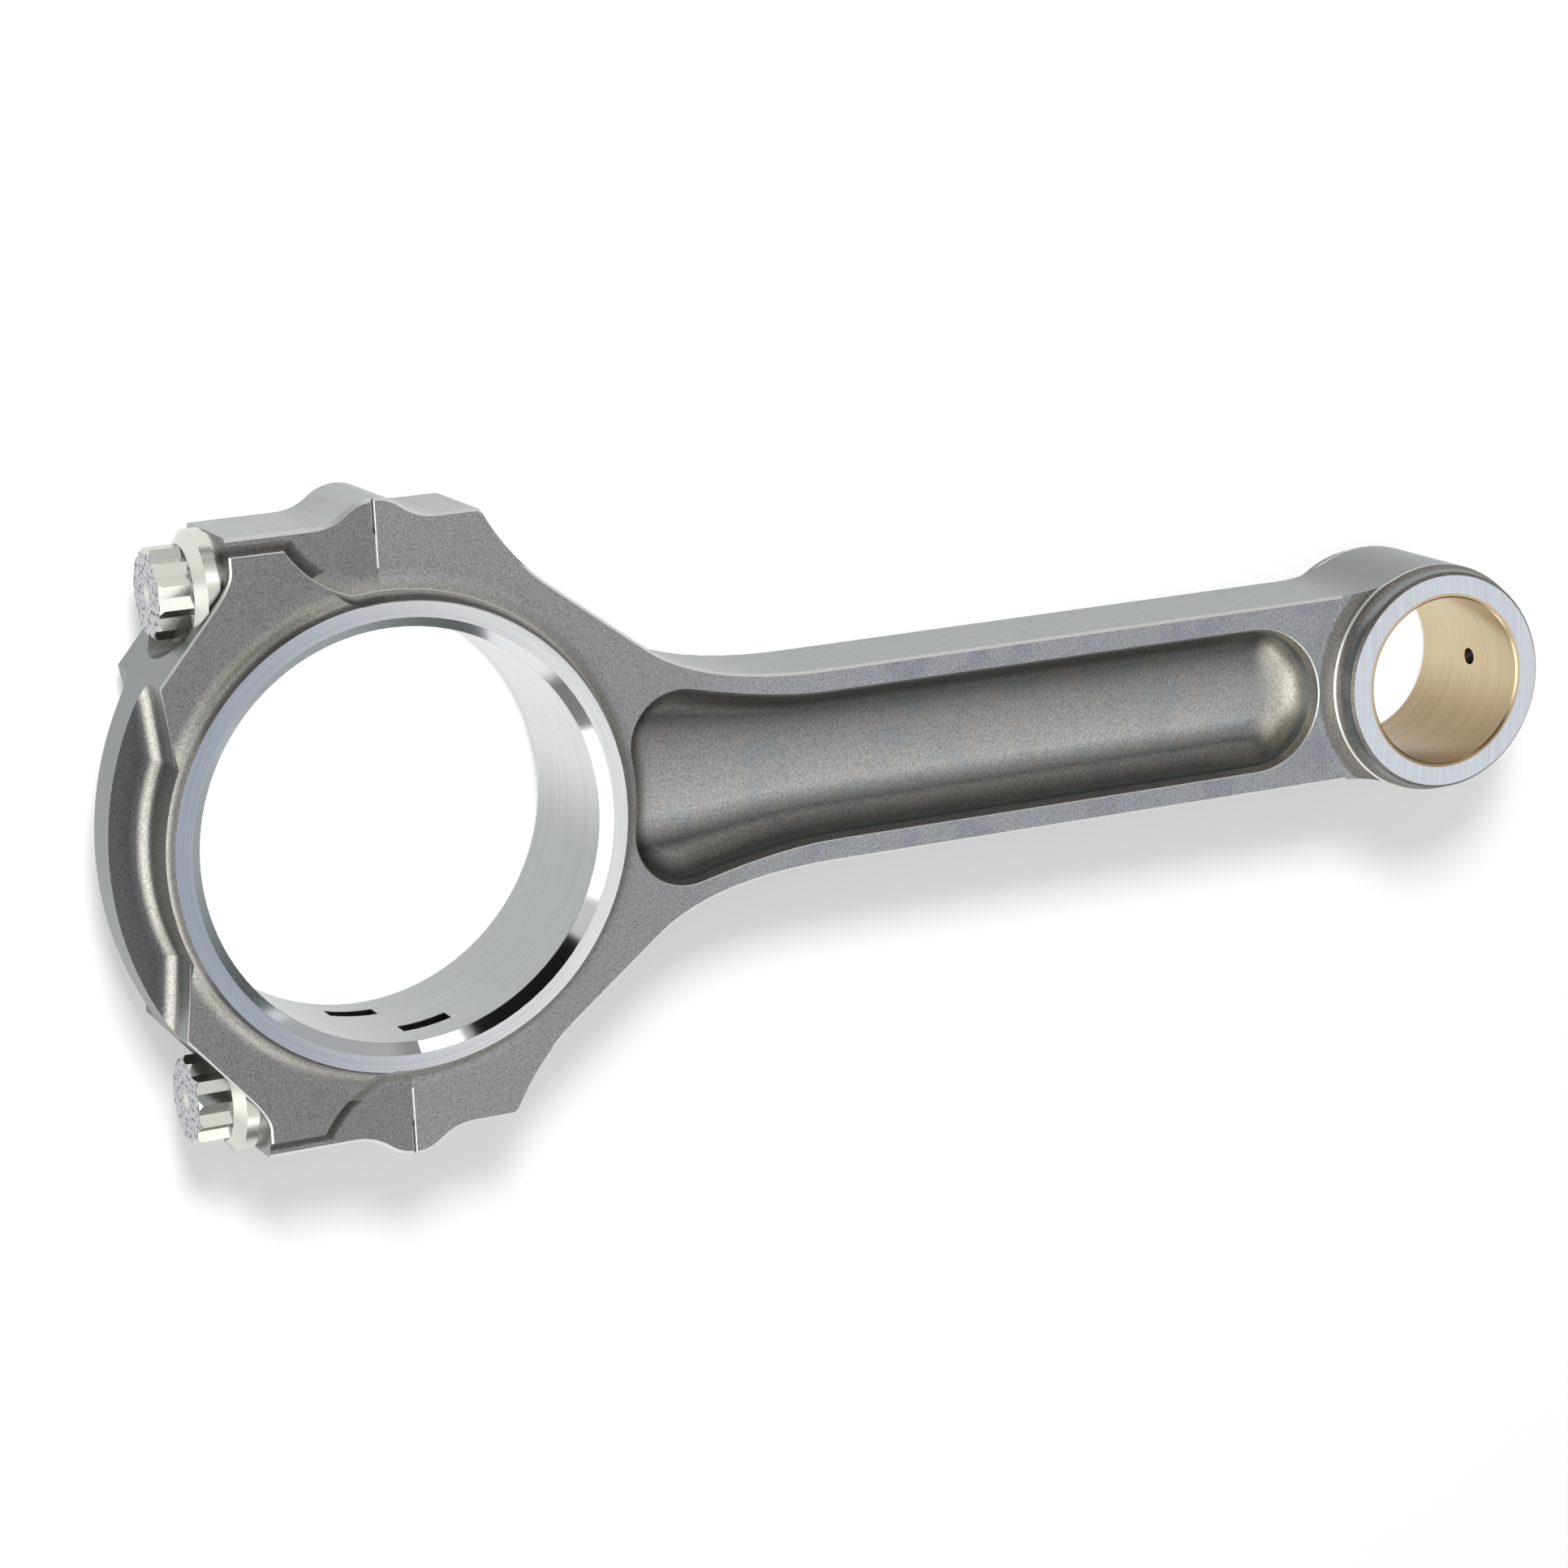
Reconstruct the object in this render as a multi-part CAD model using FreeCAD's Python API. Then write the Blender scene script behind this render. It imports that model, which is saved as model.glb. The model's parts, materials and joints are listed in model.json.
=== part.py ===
import FreeCAD, Part
import os
from math import acos, atan2, cos, degrees, radians, sin, sqrt, tan

# Connecting rod of a small piston engine, lying flat: a big end split across its bore, an H-section
# beam and a small end with a bronze bush.  The origin is the centre of the big-end bore, half way
# through its width.  +X runs to the small end, +Z along both bores.  Everything is in millimetres.

# Overall sizes
CENTRES = 155.575          # big-end axis to small-end axis
END_WIDTH = 23.876         # across the thrust faces, the same at both ends
BIG_BORE_R = 26.988        # housing bore that grips the bearing shells
PIN_BORE_R = 11.773        # finished bore of the bush
BODY_T = 15.24             # thickness of the beam, shoulders and bolt bosses
CAP_STEP = 1.38            # how far the cap's raised face stands above the bolt bosses

# Both ends
BUSH_WALL = 0.6
BUSH_CHAMFER = 0.25
OIL_HOLE_R = 1.2
BIG_RING_WALL = 3.512      # big-end bore to the outside of its thrust ring
SMALL_RING_WALL = 3.027    # bush to the outside of the small thrust ring
SMALL_END_STEP = 0.7       # small thrust ring to the outside of the small end
RING_LAND = 0.718          # straight wall of a thrust ring above its concave fillet
BIG_RING_CHAMFER = 0.12
SMALL_RING_CHAMFER = 0.45
BIG_BORE_CHAMFER = 1.4
TANG_WIDTH = 2.7           # notches that locate the bearing shells
TANG_LENGTH = 6.6
TANG_DEPTH = 0.9
ROD_TANG_Z = 4.4
CAP_TANG_Z = -5.3

# Bolts and dowel sleeves
BOLT_R = 4.7625            # thread and pilot radius
BOLT_TIP_X = 14.5          # parting line to the bolt's tip
WAIST_DEPTH = 0.6125       # pilot down to the reduced shank
THREAD_PITCH = 1.058
THREAD_DEPTH = 0.55
THREAD_CREST = 0.1         # flat crest, as a share of the pitch
PILOT_LENGTH = 7.0         # centred on the parting line
HEAD_H = 8.2               # seat to the end of the head
HEAD_GROWTH = 1.1375       # thread radius to the points of the twelve-point head
HEAD_POINTS = 12
HEAD_NOTCH = 0.8           # depth of the notches between the points
HEAD_CHAMFER = 0.45
FLANGE_OUT = 1.7           # flange rim beyond the points
FLANGE_TOP = 2.6           # seat to the rim's upper edge
FLANGE_BOTTOM = 0.95       # seat to the rim's lower edge
FLANGE_RISE = 1.25         # cone from the rim up to the points
BEARING_IN = 0.6           # washer face smaller than the rim
DIMPLE_R = 1.1
DIMPLE_DEPTH = 0.7
UPPER_TURN = 13.5          # where the last tightening left each head, in degrees
LOWER_TURN = 22.5
HOLE_CLEARANCE = 0.2       # bolt to plain hole, radial
THREAD_CLEARANCE = 0.06    # bolt to the tapped hole, radial
SEAT_CLEARANCE = 0.5       # flange to the spot face's wall
SEAT_RELIEF = 0.6          # chamfer at the mouth of the cap's bolt hole
SLEEVE_CLEARANCE = 0.1     # bolt to the inside of the sleeve
SLEEVE_WALL = 0.7875
SLEEVE_LENGTH = 8.0        # half of it stands in the cap
SLEEVE_FIT = 0.03          # sliding clearance of the sleeve in the cap
SLEEVE_END_GAP = 0.3
SLEEVE_CHAMFER = 0.3
BORE_WALL = 0.412          # metal left between the sleeve and the big-end bore
BOSS_WALL = 1.5            # metal left between the sleeve and the boss edge

# Bolt bosses and the rod's flank
LOBE_H = 2.9               # how far the boss swells at the parting line
LOBE_R = 6.0               # crest radius of that swelling
LOBE_FOOT_R = 7.2          # radius where it runs back into the boss edge
SHOULDER_X = 14.2          # parting line to the corner of the rod's shoulder
SHOULDER_R = 0.8
SHOULDER_ANGLE = 63.0      # slope of the flank where it leaves the shoulder
FLANK_ANGLE = 37.6         # slope of the straight stretch of the flank
FLANK_OUT = 16.972         # bore to where that stretch would meet the beam's edge
FLANK_RUN = 10.05          # how far before that point it starts to flatten
FLANK_BLEND = 18.04        # how far beyond that point the beam becomes parallel
EDGE_CHAMFER = 0.35
BOSS_CHAMFER = 0.5
PARTING_CHAMFER = 0.12     # broken edges on both sides of the parting line

# Beam and its pockets
BEAM_HALF = 13.15          # half the depth of the H section
FLANGE = 3.05              # flange thickness beside the pocket
WEB_T = 3.5                # web left between the two pockets
BEAM_BLEND_R = 18.0        # blend from the beam into the small end
POCKET_RING_GAP = 3.0      # wall left between the big thrust ring and the pocket
POCKET_EYE_GAP = 2.1       # wall left between the small end's outside and the pocket
POCKET_FLARE = 3.1         # how much wider the pocket's big-end corners are
POCKET_CORNER_R = 7.4
POCKET_CORNER_ANGLE = 76.0
LIP_DEPTH = 1.4            # steep lip round the pocket's rim
LIP_IN = 0.55              # how far the lip leans inwards
RIM_CHAMFER = 0.15
FILLET_SHARE = 0.94        # fillet to the web, as a share of the pocket's wall below the lip

# Cap
SEAT_IN = 7.188            # how far the bolt seat stays short of the bore's crown
SEAT_SIDE = 3.1            # seat's straight stretch beyond the bolt axis, towards the outside
FACET_TOP_DROP = (2.4, 1.35)    # from the seat and the bolt axis to the facet's upper end
FACET_END_DROP = (10.05, 10.2)  # from the seat and the bolt axis to where it meets the rib
RIB_OUT = 9.462            # bore to the outside of the middle rib
RIB_T = 6.0                # width of the middle rib
CHANNEL_OUT = 4.312        # bore to the floor of the channels beside the rib
CHANNEL_DEPTH = 8.25       # rib's outside to the gentle arc that carries that floor to the facets
CHANNEL_FILLET = 2.5
RECESS_X = 0.5             # centre of the round step that clears each bolt boss
RECESS_OUT = 12.95         # that centre beyond the bolt axis
RECESS_R = 15.6            # at the cap's raised face
RECESS_STRIP = 2.35        # width of the lowered strip along the boss edge
STRIP_FILLET = 1.9         # rounded foot of that strip
CAP_CHAMFER = 0.25

# Sizes that follow from them
HALF_WIDTH = END_WIDTH / 2
BODY_FACE = BODY_T / 2
CAP_FACE = BODY_FACE + CAP_STEP
RING_FILLET = HALF_WIDTH - BODY_FACE - RING_LAND
BUSH_R = PIN_BORE_R + BUSH_WALL
BIG_RING_R = BIG_BORE_R + BIG_RING_WALL
SMALL_RING_R = BUSH_R + SMALL_RING_WALL
SMALL_END_R = SMALL_RING_R + SMALL_END_STEP
SLEEVE_BORE_R = BOLT_R + SLEEVE_CLEARANCE
SLEEVE_R = SLEEVE_BORE_R + SLEEVE_WALL
BOLT_Y = BIG_BORE_R + BORE_WALL + SLEEVE_R
BOSS_Y = BOLT_Y + SLEEVE_R + BOSS_WALL
HOLE_R = BOLT_R + HOLE_CLEARANCE
TAPPED_R = BOLT_R + THREAD_CLEARANCE
WAIST_R = BOLT_R - WAIST_DEPTH
HEAD_POINT_R = BOLT_R + HEAD_GROWTH
FLANGE_R = HEAD_POINT_R + FLANGE_OUT
SPOT_R = FLANGE_R + SEAT_CLEARANCE
FLANK_X = BIG_BORE_R + FLANK_OUT
FLANK_END_X = FLANK_X + FLANK_BLEND
POCKET_HALF = BEAM_HALF - FLANGE
SEAT_X = BIG_BORE_R - SEAT_IN
FACET_TOP = (-SEAT_X - FACET_TOP_DROP[0], BOLT_Y - FACET_TOP_DROP[1])
FACET_END = (-SEAT_X - FACET_END_DROP[0], BOLT_Y - FACET_END_DROP[1])
RIB_REACH = BIG_BORE_R + RIB_OUT
CHANNEL_R = BIG_BORE_R + CHANNEL_OUT
FAR = 3 * BIG_RING_R       # far enough to pass right through the part

X_DIR = FreeCAD.Vector(1, 0, 0)
Y_DIR = FreeCAD.Vector(0, 1, 0)
Z_DIR = FreeCAD.Vector(0, 0, 1)


def point(x, y, z=0.0):
    return FreeCAD.Vector(x, y, z)


def line(a, b):
    return Part.makeLine(point(*a), point(*b))


def arc(a, middle, b):
    return Part.Arc(point(*a), point(*middle), point(*b)).toShape()


def on_circle(centre, radius, angle):
    return (centre[0] + radius * cos(radians(angle)), centre[1] + radius * sin(radians(angle)))


def arc_about(centre, radius, start, stop):
    """Part of a circle round centre, between two angles in degrees."""
    ends = [on_circle(centre, radius, angle) for angle in (start, (start + stop) / 2, stop)]
    return arc(*ends)


def bend(a, corner, b):
    """A smooth curve from a to b whose end tangents meet at corner."""
    curve = Part.BezierCurve()
    curve.setPoles([point(*a), point(*corner), point(*b)])
    return curve.toShape()


def with_mirror(half):
    """The edges of a half outline and of its mirror image below the centre line."""
    return half + [edge.mirror(point(0, 0), point(0, 1)) for edge in half]


def face(edges):
    return Part.Face(Part.Wire(Part.__sortEdges__(edges)))


def slab(outline, half_height):
    """Extrude a flat outline to the same height above and below z = 0."""
    solid = outline.extrude(point(0, 0, 2 * half_height))
    solid.translate(point(0, 0, -half_height))
    return solid


def above_and_below(tool):
    return [tool, tool.mirror(point(0, 0), Z_DIR)]


def cylinder(radius, start, length, direction):
    return Part.makeCylinder(radius, length, point(*start), direction)


def edges_at(solid, height, keep):
    """Edges lying flat at +height or -height whose middle satisfies keep(x, y)."""
    found = []
    for edge in solid.Edges:
        box = edge.BoundBox
        flat = box.ZLength < 1e-4 and abs(abs(box.ZMin) - height) < 1e-4
        if flat and keep(box.Center.x, box.Center.y):
            found.append(edge)
    return found


def path(corners):
    """Straight edges through the (radius, height) corners of a turned profile."""
    placed = [(radius, 0, height) for radius, height in corners]
    return [line(a, b) for a, b in zip(placed, placed[1:])]


def hollow(wall, foot, fillet):
    """Concave quarter circle of a turned profile, from a wall's radius down to its foot's height."""
    radius, height = on_circle((wall + fillet, foot + fillet), fillet, 225)
    return arc((wall, 0, foot + fillet), (radius, 0, height), (wall + fillet, 0, foot))


def revolved(edges, start, direction):
    """Turn a closed profile about the axis that points along direction from start."""
    solid = face(edges).revolve(point(0, 0), Z_DIR, 360)
    placed = solid.copy()
    placed.Placement = FreeCAD.Placement(point(*start), FreeCAD.Rotation(Z_DIR, direction))
    return placed


def turned(corners, start, direction):
    return revolved(path(corners + corners[:1]), start, direction)


def thrust_ring(radius, chamfer):
    """A round boss as wide as the thrust faces, with a concave fillet down to the body's faces."""
    outside = radius + RING_FILLET
    upper = revolved([hollow(radius, BODY_FACE, RING_FILLET), *path([
        (outside, BODY_FACE), (outside, 0), (0, 0), (0, HALF_WIDTH), (radius - chamfer, HALF_WIDTH),
        (radius, HALF_WIDTH - chamfer), (radius, BODY_FACE + RING_FILLET),
    ])], (0, 0, 0), Z_DIR)
    return upper.fuse(upper.mirror(point(0, 0), Z_DIR)).removeSplitter()


def raised_ring():
    """The big thrust ring where it rises from the cap's raised face instead, cut off by its own top."""
    outside = BIG_RING_R + RING_FILLET
    top = CAP_FACE + 2 * RING_FILLET
    upper = revolved([hollow(BIG_RING_R, CAP_FACE, RING_FILLET), *path([
        (outside, CAP_FACE), (outside, 0), (0, 0), (0, top), (BIG_RING_R, top),
        (BIG_RING_R, CAP_FACE + RING_FILLET),
    ])], (0, 0, 0), Z_DIR)
    return upper.fuse(upper.mirror(point(0, 0), Z_DIR)).removeSplitter()


def lobe():
    """Half of the swelling at the parting line, from its crest down to the boss edge."""
    reach = LOBE_R + LOBE_FOOT_R
    turn = acos((reach - LOBE_H) / reach)
    foot_x = reach * sin(turn)
    edges = [
        arc_about((0, BOSS_Y + LOBE_H - LOBE_R), LOBE_R, 90, 90 - degrees(turn)),
        arc_about((foot_x, BOSS_Y + LOBE_FOOT_R), LOBE_FOOT_R, 270 - degrees(turn), 270),
    ]
    return edges, foot_x


def closed_by_parting_line(edges):
    crest = BOSS_Y + LOBE_H
    return face(edges + [line((0, -crest), (0, crest))])


def rod_outline():
    """The rod's outer profile: lobe, shoulder, flank, beam and small end."""
    edges, foot_x = lobe()
    corner = (SHOULDER_X, BOSS_Y)
    cut = SHOULDER_R * tan(radians(SHOULDER_ANGLE) / 2)
    before = (SHOULDER_X - cut, BOSS_Y)
    after = on_circle(corner, cut, -SHOULDER_ANGLE)
    steep = tan(radians(SHOULDER_ANGLE))
    gentle = tan(radians(FLANK_ANGLE))
    bend_x = (BOSS_Y - BEAM_HALF + steep * SHOULDER_X - gentle * FLANK_X) / (steep - gentle)
    flank_bend = (bend_x, BOSS_Y - steep * (bend_x - SHOULDER_X))
    run = sqrt((flank_bend[0] - after[0]) ** 2 + (flank_bend[1] - after[1]) ** 2)
    flank_start = on_circle(flank_bend, run, -FLANK_ANGLE)
    flank_foot = (FLANK_X, BEAM_HALF)
    flank_stop = on_circle(flank_foot, FLANK_RUN, 180 - FLANK_ANGLE)
    blend_y = BEAM_HALF + BEAM_BLEND_R
    reach = SMALL_END_R + BEAM_BLEND_R
    blend_x = CENTRES - sqrt(reach ** 2 - blend_y ** 2)
    lean = degrees(acos(blend_y / reach))
    edges += [
        line((foot_x, BOSS_Y), before),
        bend(before, corner, after),
        bend(after, flank_bend, flank_start),
        line(flank_start, flank_stop),
        bend(flank_stop, flank_foot, (FLANK_END_X, BEAM_HALF)),
        line((FLANK_END_X, BEAM_HALF), (blend_x, BEAM_HALF)),
        arc_about((blend_x, blend_y), BEAM_BLEND_R, 270, 270 + lean),
        arc_about((CENTRES, 0), SMALL_END_R, 90 + lean, 0),
    ]
    return closed_by_parting_line(with_mirror(edges))


def cap_outline():
    """The cap's outer profile: lobe, bolt seat, sloping facet and the rib's outside."""
    edges, foot_x = lobe()
    edges = [edge.mirror(point(0, 0), X_DIR) for edge in edges]
    seat_corner = (-SEAT_X, BOSS_Y)
    seat_inner = (-SEAT_X, BOLT_Y + SEAT_SIDE)
    slope = (FACET_TOP[1] - FACET_END[1]) / (FACET_TOP[0] - FACET_END[0])
    meeting = (-SEAT_X, FACET_TOP[1] - slope * (FACET_TOP[0] + SEAT_X))
    edges += [
        line((-foot_x, BOSS_Y), seat_corner),
        line(seat_corner, seat_inner),
        bend(seat_inner, meeting, FACET_TOP),
        line(FACET_TOP, FACET_END),
    ]
    rib = arc(FACET_END, (-RIB_REACH, 0), (FACET_END[0], -FACET_END[1]))
    return closed_by_parting_line(with_mirror(edges) + [rib])


def pocket_outline(inset, height):
    """The rim of the beam's pocket, shrunk by inset, as a wire at the given height."""
    corner_r = POCKET_CORNER_R - inset
    ring_r = BIG_RING_R + POCKET_RING_GAP + inset
    corner_y = POCKET_HALF + POCKET_FLARE - POCKET_CORNER_R
    corner_x = sqrt((ring_r + corner_r) ** 2 - corner_y ** 2)
    lean = degrees(atan2(corner_y, corner_x))
    half = POCKET_HALF - inset
    end_x = CENTRES - SMALL_END_R - POCKET_EYE_GAP - POCKET_HALF
    leave = on_circle((corner_x, corner_y), corner_r, POCKET_CORNER_ANGLE)
    drop = (leave[1] - half) * tan(radians(POCKET_CORNER_ANGLE))
    upper = [
        arc_about((0, 0), ring_r, 0, lean),
        arc_about((corner_x, corner_y), corner_r, 180 + lean, POCKET_CORNER_ANGLE),
        bend(leave, (leave[0] + drop, half), (FLANK_END_X, half)),
        line((FLANK_END_X, half), (end_x, half)),
        arc_about((end_x, 0), half, 90, 0),
    ]
    wire = Part.Wire(Part.__sortEdges__(with_mirror(upper)))
    wire.translate(point(0, 0, height))
    return wire


def pocket_tool():
    """What is milled out of one side of the beam: a leaning lip over a deep round-bottomed floor."""
    shelf = BODY_FACE - LIP_DEPTH
    floor = WEB_T / 2
    well = Part.Face(pocket_outline(LIP_IN, floor)).extrude(point(0, 0, shelf - floor))
    fillet = FILLET_SHARE * (shelf - floor)
    well = well.makeFillet(fillet, edges_at(well, floor, lambda x, y: True))
    edge = pocket_outline(0, BODY_FACE - RIM_CHAMFER)
    rim = pocket_outline(-RIM_CHAMFER, BODY_FACE)
    lip = Part.makeLoft([pocket_outline(LIP_IN, shelf), edge], True, True)
    chamfer = Part.makeLoft([edge, rim], True, True)
    mouth = Part.Face(rim).extrude(point(0, 0, HALF_WIDTH))
    return well.fuse([lip, chamfer, mouth]).removeSplitter()


def big_bore():
    """The big-end bore and its chamfered mouths."""
    mouth = HALF_WIDTH - BIG_BORE_CHAMFER
    wide = BIG_BORE_R + 2 * BIG_BORE_CHAMFER
    end = HALF_WIDTH + BIG_BORE_CHAMFER
    return turned([
        (0, -end), (wide, -end), (BIG_BORE_R, -mouth), (BIG_BORE_R, mouth), (wide, end), (0, end),
    ], (0, 0, 0), Z_DIR)


def tang_notch(side, height):
    """A notch in the bore wall, beside the parting line, on the cap (-1) or the rod (+1)."""
    reach = BIG_BORE_R + TANG_DEPTH
    bottom = height - TANG_WIDTH / 2
    disc = cylinder(reach, (0, 0, bottom), TANG_WIDTH, Z_DIR)
    corner = point(min(0, side * TANG_LENGTH), -reach, bottom)
    return disc.common(Part.makeBox(TANG_LENGTH, reach, TANG_WIDTH, corner))


def sleeve_pocket(side, y, clearance, extra):
    """Counterbore for a dowel sleeve, from the parting face into one half of the big end."""
    return cylinder(SLEEVE_R + clearance, (0, y, 0), SLEEVE_LENGTH / 2 + extra, X_DIR * side)


def small_end_hole(radius):
    return cylinder(radius, (CENTRES, 0, -HALF_WIDTH), END_WIDTH, Z_DIR)


def oil_hole():
    return cylinder(OIL_HOLE_R, (CENTRES, 0, 0), 2 * SMALL_END_R, X_DIR)


def parting_bars():
    """Square bars, set on edge along the outer edges of the parting face, that break those edges."""
    side = PARTING_CHAMFER * sqrt(2)
    flat = Part.makeBox(side, FAR, side, point(-side / 2, 0, -side / 2))
    flat.rotate(point(0, 0), Y_DIR, 45)
    flat.translate(point(0, BIG_RING_R + RING_FILLET, BODY_FACE))
    upright = Part.makeBox(side, side, END_WIDTH, point(-side / 2, -side / 2, -HALF_WIDTH))
    upright.rotate(point(0, 0), Z_DIR, 45)
    upright.translate(point(0, BOSS_Y + LOBE_H))
    bars = [*above_and_below(flat), upright]
    return bars + [bar.mirror(point(0, 0), Y_DIR) for bar in bars]


def rod_body():
    outline = rod_outline()
    plate = slab(outline, BODY_FACE)
    plate = plate.makeChamfer(EDGE_CHAMFER, edges_at(plate, BODY_FACE, lambda x, y: x > 1e-3))
    small_ring = thrust_ring(SMALL_RING_R, SMALL_RING_CHAMFER)
    small_ring.translate(point(CENTRES, 0, 0))
    full = slab(outline, HALF_WIDTH)
    rings = [thrust_ring(BIG_RING_R, BIG_RING_CHAMFER).common(full), small_ring.common(full)]
    solid = plate.fuse(rings)
    tools = above_and_below(pocket_tool())
    tools += [big_bore(), tang_notch(1, ROD_TANG_Z), small_end_hole(BUSH_R), oil_hole()]
    for y in (-BOLT_Y, BOLT_Y):
        tools += [cylinder(TAPPED_R, (0, y, 0), FAR, X_DIR), sleeve_pocket(1, y, 0, 0)]
    return solid.cut(tools + parting_bars()).removeSplitter()


def channel_tool():
    """What is turned away beside the rib on one side: a wall, a fillet and a flat ledge."""
    ledge = RIB_T / 2
    round_side = revolved([hollow(CHANNEL_R, ledge, CHANNEL_FILLET), *path([
        (CHANNEL_R + CHANNEL_FILLET, ledge), (FAR, ledge), (FAR, HALF_WIDTH),
        (CHANNEL_R, HALF_WIDTH), (CHANNEL_R, ledge + CHANNEL_FILLET),
    ])], (0, 0, 0), Z_DIR)
    x, y = FACET_END
    flat_side = face([
        arc((x, y), (CHANNEL_DEPTH - RIB_REACH, 0), (x, -y)),
        line((x, y), (-FAR, y)),
        line((x, -y), (-FAR, -y)),
        line((-FAR, y), (-FAR, -y)),
    ]).extrude(point(0, 0, HALF_WIDTH - ledge))
    flat_side.translate(point(0, 0, ledge))
    wall_foot = edges_at(flat_side, ledge, lambda x, y: x > -CHANNEL_R)
    return round_side.common(flat_side.makeFillet(CHANNEL_FILLET, wall_foot))


def recess_spread(fillet):
    """How far a rounded foot reaches in from its edge on the cap's raised face."""
    return sqrt(fillet ** 2 - (fillet - CAP_STEP) ** 2)


def recess_disc(side):
    """The round step that lowers the cap's face to the rod's face at one bolt boss."""
    reach = RECESS_R - recess_spread(RING_FILLET) + RING_FILLET
    centre = (RECESS_X, side * (BOLT_Y + RECESS_OUT), BODY_FACE)
    disc = cylinder(reach, centre, END_WIDTH, Z_DIR)
    return above_and_below(disc.makeFillet(RING_FILLET, edges_at(disc, BODY_FACE, lambda x, y: True)))


def edge_strip(side):
    """The lowered strip along one boss's outer edge."""
    inner = BOSS_Y - RECESS_STRIP + recess_spread(STRIP_FILLET) - STRIP_FILLET
    corner = point(-FAR, min(side * inner, side * (inner + FAR)), BODY_FACE)
    strip = Part.makeBox(2 * FAR, FAR, END_WIDTH, corner)
    foot = edges_at(strip, BODY_FACE, lambda x, y: abs(abs(y) - inner) < 1e-3)
    return above_and_below(strip.makeFillet(STRIP_FILLET, foot))


def bolt_bore(y):
    """Everything that one bolt needs in the cap: spot face, relieved mouth and plain hole."""
    away = X_DIR * -1
    mouth = HOLE_R + SEAT_RELIEF
    return [
        cylinder(SPOT_R, (-SEAT_X, y, 0), FAR, away),
        cylinder(HOLE_R, (0, y, 0), FAR, away),
        Part.makeCone(mouth, HOLE_R, SEAT_RELIEF, point(-SEAT_X, y), X_DIR),
        sleeve_pocket(-1, y, SLEEVE_FIT, SLEEVE_END_GAP),
    ]


def big_end_cap():
    plate = slab(cap_outline(), CAP_FACE)
    rims = edges_at(plate, CAP_FACE, lambda x, y: x < -1e-3 and abs(y) > FACET_END[1] / 2)
    plate = plate.makeChamfer(CAP_CHAMFER, rims)
    cap_side = Part.makeBox(FAR, 2 * FAR, END_WIDTH, point(-FAR, -FAR, -HALF_WIDTH))
    plate = plate.cut([*edge_strip(1), *edge_strip(-1)])
    boss_rims = edges_at(plate, BODY_FACE, lambda x, y: abs(y) > BOSS_Y - BOSS_CHAMFER / 2)
    plate = plate.makeChamfer(BOSS_CHAMFER, boss_rims)
    plate = plate.fuse(raised_ring().common(cap_side)).cut([*recess_disc(1), *recess_disc(-1)])
    solid = plate.fuse(thrust_ring(BIG_RING_R, BIG_RING_CHAMFER).common(cap_side))
    tools = above_and_below(channel_tool())
    tools += [big_bore(), tang_notch(-1, CAP_TANG_Z), *bolt_bore(BOLT_Y), *bolt_bore(-BOLT_Y)]
    return solid.cut(tools + parting_bars()).removeSplitter()


def pointed_head(turn):
    """The wrenching head: a pointed prism down to the flange, chamfered round its free end."""
    corners = []
    for index in range(2 * HEAD_POINTS):
        radius = HEAD_POINT_R - HEAD_NOTCH * (index % 2)
        y, z = on_circle((0, 0), radius, turn + index * 180 / HEAD_POINTS)
        corners.append((-HEAD_H, y, z))
    edges = [line(a, b) for a, b in zip(corners, corners[1:] + corners[:1])]
    prism = Part.Face(Part.Wire(edges)).extrude(point(HEAD_H - FLANGE_BOTTOM, 0))
    trim = turned([
        (0, 0), (HEAD_POINT_R - HEAD_CHAMFER, 0), (HEAD_POINT_R + HEAD_CHAMFER, 2 * HEAD_CHAMFER),
        (HEAD_POINT_R + HEAD_CHAMFER, HEAD_H), (0, HEAD_H),
    ], (-HEAD_H, 0, 0), X_DIR)
    return prism.common(trim)


def shank_corners():
    """The shank's profile from the bearing face to the tip, with the thread as plain ridges."""
    reach = SEAT_X + BOLT_TIP_X
    pilot_start = SEAT_X - PILOT_LENGTH / 2
    pilot_stop = SEAT_X + PILOT_LENGTH / 2
    corners = [
        (0, 0), (BOLT_R, 0), (WAIST_R, WAIST_DEPTH), (WAIST_R, pilot_start - WAIST_DEPTH),
        (BOLT_R, pilot_start), (BOLT_R, pilot_stop),
    ]
    grooves = int((reach - pilot_stop) / THREAD_PITCH) - 1
    flank = (1 - THREAD_CREST) / 2 * THREAD_PITCH
    for index in range(grooves):
        root = pilot_stop + flank + index * THREAD_PITCH
        corners += [(BOLT_R - THREAD_DEPTH, root), (BOLT_R, root + flank)]
        corners.append((BOLT_R, root + flank + THREAD_CREST * THREAD_PITCH))
    return corners + [(BOLT_R - THREAD_DEPTH, reach), (0, reach)]


def cap_bolt(y, turn):
    """A flanged bolt with a pointed head, its bearing face on the cap's seat."""
    bearing_r = FLANGE_R - BEARING_IN
    flange = turned([
        (0, -FLANGE_TOP - FLANGE_RISE), (HEAD_POINT_R, -FLANGE_TOP - FLANGE_RISE),
        (FLANGE_R, -FLANGE_TOP), (FLANGE_R, -FLANGE_BOTTOM), (bearing_r, -FLANGE_BOTTOM),
        (bearing_r, 0), (0, 0),
    ], (0, 0, 0), X_DIR)
    shank = turned(shank_corners(), (0, 0, 0), X_DIR)
    dimple = Part.makeCone(DIMPLE_R, 0, DIMPLE_DEPTH, point(-HEAD_H, 0), X_DIR)
    bolt = pointed_head(turn).fuse([flange, shank]).cut(dimple).removeSplitter()
    bolt.translate(point(-SEAT_X, y))
    return bolt


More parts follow.
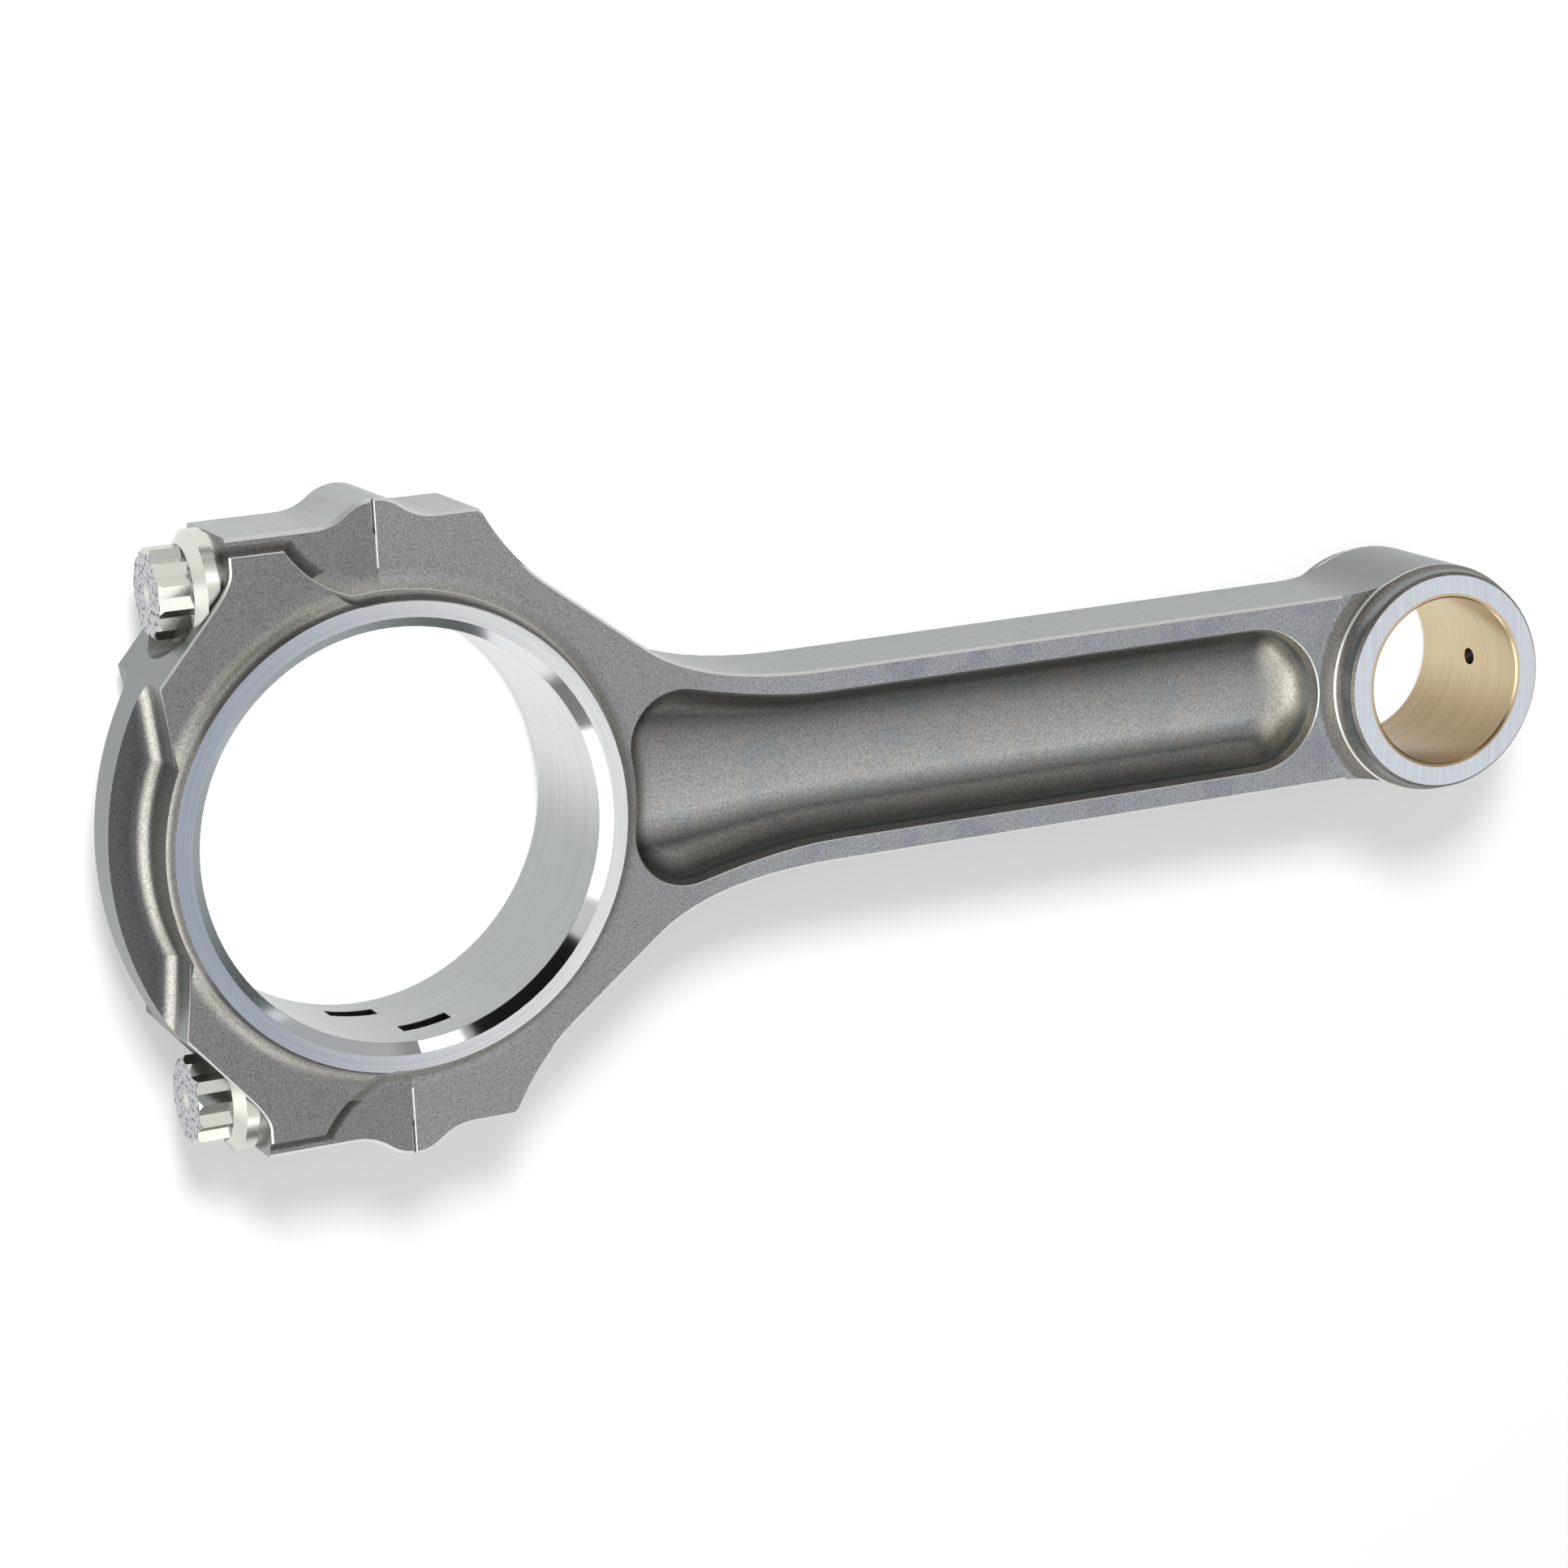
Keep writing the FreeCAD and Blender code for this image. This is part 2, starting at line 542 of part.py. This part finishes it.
def dowel_sleeve(y):
    """A hollow dowel round the bolt, half in the rod and half in the cap."""
    half = SLEEVE_LENGTH / 2
    return turned([
        (SLEEVE_BORE_R, -half), (SLEEVE_R - SLEEVE_CHAMFER, -half),
        (SLEEVE_R, SLEEVE_CHAMFER - half), (SLEEVE_R, half), (SLEEVE_BORE_R, half),
    ], (0, y, 0), X_DIR)


def pin_bush():
    """The bronze bush, its bore eased at both mouths, with the oil hole through one wall."""
    mouth = PIN_BORE_R + BUSH_CHAMFER
    straight = HALF_WIDTH - BUSH_CHAMFER
    bush = turned([
        (PIN_BORE_R, -straight), (mouth, -HALF_WIDTH), (BUSH_R, -HALF_WIDTH),
        (BUSH_R, HALF_WIDTH), (mouth, HALF_WIDTH), (PIN_BORE_R, straight),
    ], (CENTRES, 0, 0), Z_DIR)
    return bush.cut(oil_hole())


NODES = {
    "rod_body": rod_body(),
    "big_end_cap": big_end_cap(),
    "cap_bolt_upper": cap_bolt(BOLT_Y, UPPER_TURN),
    "cap_bolt_lower": cap_bolt(-BOLT_Y, LOWER_TURN),
    "dowel_sleeve_upper": dowel_sleeve(BOLT_Y),
    "dowel_sleeve_lower": dowel_sleeve(-BOLT_Y),
    "pin_bush": pin_bush(),
}

os.makedirs("parts", exist_ok=True)
for name, shape in NODES.items():
    print(name, "solids", len(shape.Solids), "valid", shape.isValid(), "mm3", round(shape.Volume, 1))
    shape.exportStep(f"parts/{name}.step")
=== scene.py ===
# %% [markdown]
# # A connecting rod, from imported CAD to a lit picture
# The rod's shapes come from its CAD model, which is loaded as a fixed frame.  Blender adds what CAD
# leaves out: the finish that each cutter and blasting nozzle left, the light, and the camera.
# Everything is in metres, in the CAD's own frame: the big-end axis is at the origin, +X runs along the
# beam to the small end and +Z points up, because the rod lies flat.

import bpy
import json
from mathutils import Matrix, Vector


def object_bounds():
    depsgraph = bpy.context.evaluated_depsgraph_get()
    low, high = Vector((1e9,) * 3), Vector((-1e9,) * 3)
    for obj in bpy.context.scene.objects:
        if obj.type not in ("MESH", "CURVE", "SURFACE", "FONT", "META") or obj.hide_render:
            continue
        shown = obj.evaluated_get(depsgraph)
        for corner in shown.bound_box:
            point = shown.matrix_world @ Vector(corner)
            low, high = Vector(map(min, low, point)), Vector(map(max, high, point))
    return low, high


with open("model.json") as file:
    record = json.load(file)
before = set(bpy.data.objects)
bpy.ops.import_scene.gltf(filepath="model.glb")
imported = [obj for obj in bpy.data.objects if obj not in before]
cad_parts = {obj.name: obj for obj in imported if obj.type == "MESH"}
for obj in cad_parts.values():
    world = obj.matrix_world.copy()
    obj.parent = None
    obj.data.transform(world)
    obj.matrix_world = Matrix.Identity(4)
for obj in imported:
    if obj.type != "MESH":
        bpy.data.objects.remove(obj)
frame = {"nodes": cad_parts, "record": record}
cad_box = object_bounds()
nodes = frame["nodes"]
print("nodes:", ", ".join(sorted(nodes)))

# %% [markdown]
# A pattern that has to follow a bore, a thrust face or the beam needs their sizes.  They are read from
# the record's mounts and from the nodes' boxes, so a changed CAD model moves the patterns with it.
# Blender's unit is the metre, but a finish is easier to think about in millimetres.

# %% Sizes that the finishes need, in millimetres
import json
import math
import bmesh
import bpy
from mathutils import Matrix, Vector

MM = 0.001
mounts = {mount["name"]: mount for mount in frame["record"]["mounts"]}
BIG_BORE = mounts["big_end_bore"]["dims"]["r_mm"]
PIN_BORE = mounts["pin_bore"]["dims"]["r_mm"]
CENTRES = mounts["pin_bore"]["pos_m"][0] / MM
HALF_WIDTH = cad_box[1].z / MM
print(f"bores {BIG_BORE} and {PIN_BORE} mm, {CENTRES:.3f} mm apart, {2 * HALF_WIDTH:.3f} mm wide")

# %% [markdown]
# The camera is a long lens from above and behind the big end, a little to the cap bolts' side.  A long
# lens keeps both ends nearly the same scale, which is how a part is shown in a catalogue.  Its three
# axes are written out as a rotation, because a part that lies at a slant has no handy angles.

# %% Camera
EYE = Vector((-0.1892225, 0.1368380, 0.5408864))
RIGHT = Vector((0.9039753, -0.0451670, 0.4251925))
DOWN = Vector((-0.1376033, -0.9722353, 0.1892720))
AHEAD = Vector((0.4048383, -0.2296051, -0.8850918))
SENSOR_MM = 36
FOCAL_MM = 104.48

lens = bpy.data.cameras.new("catalogue_lens")
lens.sensor_width = SENSOR_MM
lens.lens = FOCAL_MM
camera = bpy.data.objects.new("catalogue_camera", lens)
bpy.context.scene.collection.objects.link(camera)
axes = Matrix((RIGHT, -DOWN, -AHEAD)).transposed()
camera.matrix_world = Matrix.Translation(EYE) @ axes.to_4x4()
bpy.context.scene.camera = camera
print("camera", round(EYE.length, 3), "m from the big end")

# %% [markdown]
# Shader maths reads best as ordinary sums.  The small class below wraps a socket, and Python's
# operators on it add Math nodes, so `1 - mask` works as written.  Every other node comes from one
# method, `node`, which takes the node's kind, its settings and what goes into its sockets.

# %% A socket that can be added, scaled and compared
class Socket:
    def __init__(self, finish, link):
        self.finish = finish
        self.link = link

    def math(self, operation, *others):
        values = dict(enumerate((self, *others)))
        return self.finish.node("Math", {"operation": operation}, values)

    def __add__(self, other):
        return self.math("ADD", other)

    __radd__ = __add__

    def __mul__(self, other):
        return self.math("MULTIPLY", other)

    __rmul__ = __mul__

    def __sub__(self, other):
        return self.math("SUBTRACT", other)

    def __rsub__(self, other):
        return self.finish.node("Math", {"operation": "SUBTRACT"}, {0: other, 1: self})

    def __truediv__(self, other):
        return self.math("DIVIDE", other)

    def __abs__(self):
        return self.math("ABSOLUTE")


# %% A finish, which is one material or world under construction
class Finish:
    def __init__(self, owner):
        owner.use_nodes = True
        self.owner = owner
        self.tree = owner.node_tree
        self.tree.nodes.clear()

    def node(self, kind, settings=None, values=None, output=0):
        made = self.tree.nodes.new("ShaderNode" + kind)
        settings = dict(settings or {})
        stops = settings.pop("stops", ())
        for name, value in settings.items():
            setattr(made, name, value)
        for index, (place, colour) in enumerate(stops):
            if index >= len(made.color_ramp.elements):
                made.color_ramp.elements.new(place)
            made.color_ramp.elements[index].position = place
            made.color_ramp.elements[index].color = (*colour, 1)
        for key, value in (values or {}).items():
            if isinstance(value, Socket):
                self.tree.links.new(value.link, made.inputs[key])
            else:
                made.inputs[key].default_value = value
        return Socket(self, made.outputs[output]) if made.outputs else None

    def above(self, value, edge, width=0.06):
        """0 below the edge and 1 above it, with a soft change over width."""
        spans = {0: value, 1: edge - width / 2, 2: edge + width / 2}
        return self.node("MapRange", {"interpolation_type": "SMOOTHSTEP"}, spans)

    def between(self, value, low, high, width=0.06):
        return self.above(value, low, width) * (1 - self.above(value, high, width))

    def mix(self, mask, first, second):
        """One colour where the mask is 0 and another where it is 1."""
        pick = {0: mask, 6: self.colour(first), 7: self.colour(second)}
        return self.node("Mix", {"data_type": "RGBA"}, pick, output=2)

    def colour(self, value):
        return value if isinstance(value, Socket) else (*value, 1)

    def places(self):
        """Where the surface is, in millimetres: the vector and its three parts."""
        spot = self.node("TexCoord", output=3)
        spot = self.node("VectorMath", {"operation": "SCALE"}, {0: spot, 3: 1 / MM})
        return (spot, *[self.node("SeparateXYZ", None, {0: spot}, output=part) for part in range(3)])

    def radius(self, x, y):
        return (x * x + y * y).math("SQRT")

    def facing(self, axis):
        """How far the surface faces along an axis, either way: 0 for across it and 1 for straight along."""
        normal = self.node("TexCoord", output=1)
        return abs(self.node("SeparateXYZ", None, {0: normal}, output=axis))

    def noise(self, where, scale, detail=2.0, rough=0.5, stretch=(1, 1, 1)):
        where = self.node("VectorMath", {"operation": "MULTIPLY"}, {0: where, 1: stretch})
        settings = {"Scale": scale, "Detail": detail, "Roughness": rough, "Vector": where}
        return self.node("TexNoise", None, settings)

    def vector(self, x, y, z):
        return self.node("CombineXYZ", None, {0: x, 1: y, 2: z})

    def bump(self, height, strength, depth_mm):
        levels = {"Height": height, "Strength": strength, "Distance": depth_mm * MM}
        return self.node("Bump", None, levels)

    def surface(self, **sockets):
        shader = self.node("BsdfPrincipled", None, {k.replace("_", " "): v for k, v in sockets.items()})
        self.node("OutputMaterial", None, {0: shader})
        return self.owner

# %% [markdown]
# A bright steel part is mostly a picture of what stands round it, so the room matters as much as the
# steel.  Here it is a white tent with soft panels: the sky is pale overhead and darker towards the
# horizon, brighter panels put the light bands into the fillets, and black ones put the dark strokes
# into the polished chamfer.  Rough steel blurs them all, so only the mirror-like faces show an edge.

# %% The tent and its panels
HORIZON = 0.22
OVERHEAD = 1.2
PALE_AT = 0.45  # the height, from 0 to 1, where the sky is halfway from one to the other
PALE_OVER = 0.6
PANELS = [  # towards, radius in degrees, softness in degrees, brightness
    ((-0.86, -0.20, 0.42), 29, 6, 2.6),
    ((-0.56, -0.23, 0.79), 9, 10, 3.2),
    ((0.40, 0.42, 0.81), 10, 12, 3.4),
    ((0.40, -0.68, 0.61), 9, 10, 3.4),
    ((0.18, 0.94, 0.30), 7, 3, 1.8),
    ((-0.20, -0.97, 0.10), 15, 8, 1.05),
    ((-0.24, -0.87, 0.43), 9, 8, 4.0),
    ((0.70, 0.70, 0.06), 22, 10, 0.55),
    ((-0.55, -0.79, 0.22), 7, 6, 0.25),
    ((-0.20, 0.90, 0.39), 12, 3, 0.01),
    ((-0.53, 0.72, 0.45), 15, 3, 0.01),
]


def tent():
    world = bpy.data.worlds.new("white_tent")
    bpy.context.scene.world = world
    sky = Finish(world)
    way = sky.node("TexCoord", output=0)
    height = sky.node("SeparateXYZ", None, {0: way}, output=2)
    light = HORIZON + (OVERHEAD - HORIZON) * sky.above(height, PALE_AT, PALE_OVER)
    for direction, radius, softness, brightness in PANELS:
        towards = Vector(direction).normalized()
        near = sky.node("VectorMath", {"operation": "DOT_PRODUCT"}, {0: way, 1: towards}, output=1)
        angle = near.math("ARCCOSINE") * (180 / math.pi)
        panel = 1 - sky.above(angle, radius, softness)
        light = light * (1 - panel) + brightness * panel
    glow = sky.node("Background", None, {"Strength": light})
    sky.node("OutputWorld", None, {0: glow})
    return world


print("sky:", tent().name, "with", len(PANELS), "panels")

# %% [markdown]
# The part lies on a light table, the kind used for catalogue pictures: a pale sheet that glows a little
# by itself.  The glow keeps the ground white and the shadow pale, and it lights the upright walls and
# the bores from below.  Under each bore a brighter painted glow, with no shadow on it, keeps the view
# through it white.  One large lamp, high beyond the upper bolt, gives the shadow its direction.  It
# lights the table only, because its mirror image in the steel would draw a hard stroke that the soft
# panels don't make.

# %% Light table and lamp
TABLE_SIDE = 6  # metres, far past the picture's edge
TABLE_GREY = 0.20
TABLE_GLOW = 0.45
# painted light: the table glows brighter under each bore, so no shadow shows there
UNDER_BORE_PAINTED_GLOW = 1.02


def light_table():
    mesh = bpy.data.meshes.new("light_table")
    shape = bmesh.new()
    place = Matrix.Translation((CENTRES * MM / 2, 0, cad_box[0].z))
    bmesh.ops.create_grid(shape, x_segments=1, y_segments=1, size=TABLE_SIDE / 2, matrix=place)
    shape.to_mesh(mesh)
    shape.free()
    sheet = Finish(bpy.data.materials.new("pale_sheet"))
    _, x, y, _ = sheet.places()
    # painted light under each bore: a black base colour and a brighter glow hide the shadow there
    under_bore_painted_glow = 1 - sheet.above(sheet.radius(x, y), BIG_BORE, 1)
    under_bore_painted_glow = under_bore_painted_glow + (1 - sheet.above(sheet.radius(x - CENTRES, y), PIN_BORE, 1))
    pale = sheet.mix(under_bore_painted_glow, (TABLE_GREY,) * 3, (0, 0, 0))
    glow = sheet.mix(under_bore_painted_glow, (TABLE_GLOW,) * 3, (UNDER_BORE_PAINTED_GLOW,) * 3)
    lit = {"Emission_Color": glow, "Emission_Strength": 1.0}
    mesh.materials.append(sheet.surface(Base_Color=pale, Roughness=0.9, **lit))
    table = bpy.data.objects.new("light_table", mesh)
    bpy.context.scene.collection.objects.link(table)


def lamp(name, place, aim, size, power):
    data = bpy.data.lights.new(name, "AREA")
    data.size = size
    data.energy = power
    thing = bpy.data.objects.new(name, data)
    bpy.context.scene.collection.objects.link(thing)
    thing.location = place
    thing.visible_glossy = False
    thing.rotation_euler = (Vector(aim) - Vector(place)).to_track_quat("-Z", "Y").to_euler()


light_table()
lamp("big_soft_lamp", (-0.18, 0.62, 0.76), (0.06, 0, 0), 0.26, 31)
bpy.context.scene.view_settings.view_transform = "Standard"
print("table top at", round(cad_box[0].z / MM, 3), "mm")

# %% [markdown]
# One piece of steel carries several finishes, each left by its own tool.  The forging is milled, then
# the whole rod is shot-peened, which leaves a fine dull grain.  The profile's walls stay smoother, and
# the thrust faces and bores are ground and honed last, so those are bright.  The place of each surface
# says which tool touched it last, so one material can find its masks from position and from how far the
# surface faces up, and no mesh has to be cut apart.

# %% Measures that all the steel finishes share
class Steel(Finish):
    def __init__(self, name):
        super().__init__(bpy.data.materials.new(name))
        self.spot, self.x, self.y, self.z = self.places()
        self.up = self.facing(2)
        self.height = abs(self.z)
        self.big_r = self.radius(self.x, self.y)
        self.small_r = self.radius(self.x - CENTRES, self.y)

    def streaks(self, radius, fine):
        """Fine lines that run round an axis, broken a little along their way."""
        way = self.vector(radius * fine + self.x * 0.06, self.y * 0.06, self.z * fine)
        return self.noise(way, 1.0, 3, 0.6)

    def grit(self):
        return self.noise(self.spot, 3.3, 4, 0.65)

    def lay(self, under, mask, over):
        return under * (1 - mask) + over * mask


# %% [markdown]
# The masks come next.  The big bore, its chamfer and the thrust faces are found by radius and height.
# The pocket is found by its distance from the beam's centre line, which narrows towards the small end.
# A wall faces sideways.  A chamfer faces exactly halfway up, which tells it from a fillet that only
# passes through that slope.  Sharp edges get a painted highlight: an edge is a thin bright band under a
# face.
#
# Five more masks are for places that look lighter or darker than their tool alone would leave them,
# and they carry painted light and shade.  The collar is the curved flank round the small end, painted
# darker as shade, and the glint is a painted highlight on the steep part of the fillets round both ends.
# The foot is the low wall round the cap's recesses, and the ledge is the low floor beside the rib: both
# get painted shade for what stands over them.  The hidden steel lies just behind the big bore's wall and
# shows only inside the notches; it is painted near-black as shade, because hardly any light gets in.

# %% Where each tool touched the rod and the cap
BODY_FACE = 7.62  # height of the rod's flat faces above the middle
CAP_FACE = 9.0  # the cap's are a little higher
BEAM_STARTS = 33
BEAM_ENDS = CENTRES - 16
BAND_HALF = 14.75  # half of the band that holds the pocket, at the big-end axis
BAND_TAPER = 0.03  # what that half loses for each millimetre along the beam
RIB_X = -27  # the ledge beside the rib lies beyond it
CHAMFER_IN = 1.45  # the bore's chamfer lies within this of the thrust face
CHAMFER_OUT = 1.38  # and within this of the bore
RING_OUT = 4.4  # this far outside the bore, the thrust ring has ended
FILLET_OUT = 8.3  # and here the fillet round it has ended too


def tool_masks(steel):
    far = abs(steel.y) + BAND_TAPER * steel.x
    beam = steel.between(steel.x, BEAM_STARTS, BEAM_ENDS)
    upright = 1 - steel.above(steel.up, 0.3, 0.2)
    sloped = 1 - steel.above(steel.up, 0.97, 0.04)
    outside = steel.above(steel.big_r, BIG_BORE + RING_OUT)
    beyond = steel.above(steel.big_r, BIG_BORE + FILLET_OUT)
    broken = steel.between(steel.up, 0.69, 0.725, 0.01)
    # painted highlight: thin bright bands along the body's chamfered edges and the lip of the cap's
    # recesses
    rim_highlight = steel.between(steel.height, BODY_FACE - 0.6, BODY_FACE + 0.04) * broken
    lip_highlight = steel.between(steel.height, CAP_FACE - 0.3, CAP_FACE - 0.02, 0.03) * outside
    lip_highlight = lip_highlight * (1 - steel.above(steel.up, 0.8, 0.1))
    return {
        "bore": 1 - steel.above(steel.big_r, BIG_BORE + 0.04),
        "chamfer": steel.above(steel.height, HALF_WIDTH - CHAMFER_IN)
        * steel.between(steel.big_r, BIG_BORE + 0.04, BIG_BORE + CHAMFER_OUT),
        "ground": steel.above(steel.height, HALF_WIDTH - 0.03, 0.02),
        "wall": upright * outside,
        "pocket": beam
        * (1 - steel.above(far, BAND_HALF))
        * (1 - steel.above(steel.height, BODY_FACE - 0.2)),
        "edge": (rim_highlight + lip_highlight).math("MINIMUM", 1),
        # painted shade on the curved flank round the small end
        "collar": (1 - steel.above(steel.small_r, 19, 2)) * sloped,
        # painted shade: steel behind the bore's wall, seen only inside the notches
        "hidden": steel.between(steel.big_r, BIG_BORE + 0.06, BIG_BORE + 3)
        * (1 - steel.above(steel.height, 8))
        * steel.above(abs(steel.x), 0.05, 0.02),
        # painted shade on the low floor beside the rib
        "ledge": (1 - steel.above(steel.x, RIB_X))
        * steel.above(steel.up, 0.9, 0.1)
        * (1 - steel.above(steel.height, 6)),
        # painted shade on the low wall round the cap's recesses
        "foot": steel.between(steel.height, BODY_FACE + 0.05, CAP_FACE - 0.3)
        * beyond
        * steel.between(steel.x, RIB_X, 20)
        * sloped,
        "glint": steel.between(steel.up, 0.5, 0.86, 0.22)
        * (1 - beam)
        * (1 - beyond * steel.above(steel.x, RIB_X)),
    }


# %% [markdown]
# Each finish is a colour, a roughness and a height for the bump.  They are laid over each other in the
# order of manufacture, so a later tool hides what an earlier one left.  Blasted steel is dark because
# its tiny pits trap light.  The pocket carries painted shade and painted highlight: it is painted
# brightest along the middle of the web and dark in the corners, and its end towards the small end is
# painted light.

# %% Colours of the steel
BEAM_TONE_AT = 46  # where the big end's tone has half given way to the beam's
BEAM_TONE_OVER = 22
GRAIN = [(0.30, (0.46, 0.46, 0.46)), (0.50, (0.78, 0.78, 0.78)), (0.70, (1.0, 1.0, 1.0))]
POCKET_SPAN = 20  # the tones below are laid out over this, from side to side
# painted shade and highlight across the pocket
POCKET_PAINTED_SHADE = [  # distance across the pocket in millimetres, towards the upper bolt, and brightness
    (-9.5, 0.32), (-8, 0.22), (-6.5, 0.11), (-5, 0.34), (-3.5, 0.56), (0, 0.44), (3, 0.33), (5, 0.22),
    (6.5, 0.10), (8, 0.16), (9.5, 0.40),
]


def grained(steel, colour, tone):
    settings = {"data_type": "RGBA", "blend_type": "MULTIPLY"}
    return steel.node("Mix", settings, {0: 1.0, 6: colour, 7: tone}, output=2)


def peened_colour(steel, mask, body):
    tone = steel.node("ValToRGB", {"stops": GRAIN}, {0: steel.grit()})
    patches = steel.above(steel.noise(steel.spot, 0.16, 3, 0.6), 0.55, 0.14)
    beam = steel.mix(patches, (0.42, 0.435, 0.455), (0.37, 0.38, 0.43))
    # the pocket's painted shade and highlight, laid across it from side to side
    shade = [
        (across / POCKET_SPAN + 0.5, (light * 1.02, light, light * 0.97))
        for across, light in POCKET_PAINTED_SHADE
    ]
    across = steel.y * (0.76 + 0.24 * steel.above(steel.x, 50, 26))
    pocket = steel.node("ValToRGB", {"stops": shade}, {0: across * (1 / POCKET_SPAN) + 0.5})
    pocket = grained(steel, pocket, steel.mix(patches, (1, 1, 1), (0.90, 0.95, 1)))
    # painted highlight on the pocket's end towards the small end
    pocket = steel.mix(steel.above(steel.x, CENTRES - 24, 3), pocket, (0.62, 0.60, 0.56))
    colour = steel.mix(steel.above(steel.x, BEAM_TONE_AT, BEAM_TONE_OVER), body, beam)
    # painted shade: the ledge beside the rib is painted dark
    colour = steel.mix(mask["ledge"], steel.mix(mask["pocket"], colour, pocket), (0.16, 0.16, 0.165))
    # painted shade: the flank round the small end is painted darker
    colour = steel.mix(mask["collar"], colour, (0.25, 0.245, 0.235))
    warmth = steel.mix(steel.above(steel.up, 0.93, 0.08), (1, 0.98, 0.92), (1, 1, 1))
    colour = grained(steel, colour, warmth)
    # painted shade: the foot of the recess walls is painted dark
    colour = steel.mix(mask["foot"], colour, (0.16, 0.155, 0.145))
    colour = steel.mix(mask["glint"], colour, (0.66, 0.65, 0.60))
    return grained(steel, colour, tone)


def machined_colour(steel, under, mask):
    along = steel.noise(steel.spot, 1.2, 3, 0.6, (1, 1, 0.06))
    lines = steel.streaks(steel.big_r, 5.0)
    lit = steel.above(steel.x, -2, 54)
    # painted light and shade: the bore is painted lighter on its +Y side and darker on its -Y side
    bore = steel.mix(steel.above(steel.y, 0, 14), (0.42, 0.445, 0.44), (0.72, 0.73, 0.72))
    ground = steel.mix(lit, (0.38, 0.41, 0.48), (0.80, 0.805, 0.81))
    ground = steel.mix(steel.above(steel.x, 100), ground, (0.70, 0.73, 0.79))
    wall = steel.mix(along, (0.27, 0.29, 0.285), (0.41, 0.43, 0.42))
    beam_wall = steel.mix(along, (0.23, 0.255, 0.25), (0.33, 0.36, 0.355))
    wall = steel.mix(steel.above(steel.x, BEAM_TONE_AT, BEAM_TONE_OVER), wall, beam_wall)
    wall = steel.mix(steel.above(steel.x, CENTRES - 12, 8), wall, (0.23, 0.24, 0.24))
    wall = steel.mix(steel.above(steel.x, -24, 8), (0.22, 0.235, 0.235), wall)
    streaked = [(0.3, (0.80, 0.80, 0.80)), (0.7, (1.0, 1.0, 1.0))]
    lines = steel.node("ValToRGB", {"stops": streaked}, {0: lines})
    colour = steel.mix(mask["wall"], under, wall)
    # painted highlight along the sharp edges
    colour = steel.mix(mask["edge"], colour, (0.80, 0.80, 0.78))
    # painted shade: the steel inside the notches is painted near-black
    colour = steel.mix(mask["hidden"], colour, (0.05, 0.05, 0.05))
    colour = steel.mix(mask["ground"], colour, grained(steel, ground, lines))
    colour = steel.mix(mask["bore"], colour, grained(steel, bore, lines))
    return steel.mix(mask["chamfer"], colour, steel.mix(lit, (0.78, 0.81, 0.84), (0.95, 0.96, 0.97)))


# %% The steel of the rod and the cap
BLASTED = 0.43  # roughness wherever none of these applies
ROUGHNESS = {"pocket": 0.40, "wall": 0.36, "edge": 0.45, "ground": 0.3, "bore": 0.24, "chamfer": 0.09}


def rod_steel(name, body):
    steel = Steel(name)
    mask = tool_masks(steel)
    colour = machined_colour(steel, peened_colour(steel, mask, body), mask)
    rough = BLASTED
    for part, value in ROUGHNESS.items():
        rough = steel.lay(rough, mask[part], value)
    smooth = sum(mask[part] for part in ("bore", "chamfer", "ground", "wall", "edge"))
    grain = steel.grit() * (1 - smooth.math("MINIMUM", 1))
    lines = steel.streaks(steel.big_r, 5.0) * (mask["bore"] + mask["ground"])
    normal = steel.bump(grain + lines * 0.3, 0.5, 0.05)
    return steel.surface(Base_Color=colour, Metallic=1.0, Roughness=rough, Normal=normal)


nodes["rod_body"].material_slots[0].material = rod_steel("rod_steel", (0.37, 0.365, 0.375))
nodes["big_end_cap"].material_slots[0].material = rod_steel("cap_steel", (0.28, 0.28, 0.282))
print("rod and cap have their finishes")

# %% [markdown]
# The bush is bearing bronze, bored to size after it is pressed in, so its wall carries fine lines that
# run round the hole.  The cap bolts are a bright alloy steel; their end faces are left as forged, with
# small dark pits, and their flats are smooth.  The dowel sleeves are plain ground tube.

# %% Bush, bolts and sleeves
def bush_bronze():
    bronze = Steel("bush_bronze")
    lines = bronze.streaks(bronze.small_r, 3.0)
    # painted shade: a lit and a shaded copy of the bronze, the shaded one below y = -5 mm
    light = bronze.mix(lines, (0.50, 0.38, 0.22), (0.78, 0.65, 0.44))
    shaded_bronze = bronze.mix(lines, (0.25, 0.17, 0.09), (0.46, 0.35, 0.21))
    colour = bronze.mix(bronze.above(bronze.y, -5, 10), shaded_bronze, light)
    normal = bronze.bump(lines, 0.4, 0.04)
    return bronze.surface(Base_Color=colour, Metallic=1.0, Roughness=0.28, Normal=normal)


def bolt_steel():
    steel = Steel("bolt_steel")
    end = steel.above(steel.facing(0), 0.97, 0.02)
    pits = steel.above(steel.noise(steel.spot, 1.5, 3, 0.6), 0.56, 0.05)
    forged = steel.mix(pits, (0.50, 0.50, 0.52), (0.12, 0.12, 0.13))
    colour = steel.mix(end, (0.61, 0.61, 0.57), forged)
    rough = steel.lay(0.24, end, 0.42)
    normal = steel.bump(pits * end, 0.4, 0.08)
    return steel.surface(Base_Color=colour, Metallic=1.0, Roughness=rough, Normal=normal)


def sleeve_steel():
    steel = Steel("sleeve_steel")
    lines = steel.noise(steel.spot, 3.0, 2, 0.5, (1, 0.1, 0.1))
    colour = steel.mix(lines, (0.34, 0.34, 0.35), (0.52, 0.52, 0.53))
    return steel.surface(Base_Color=colour, Metallic=1.0, Roughness=0.35)


shared = {"cap_bolt": bolt_steel(), "dowel_sleeve": sleeve_steel(), "pin_bush": bush_bronze()}
for node, thing in nodes.items():
    for start, material in shared.items():
        if node.startswith(start):
            thing.material_slots[0].material = material
            print(node, "is", material.name)
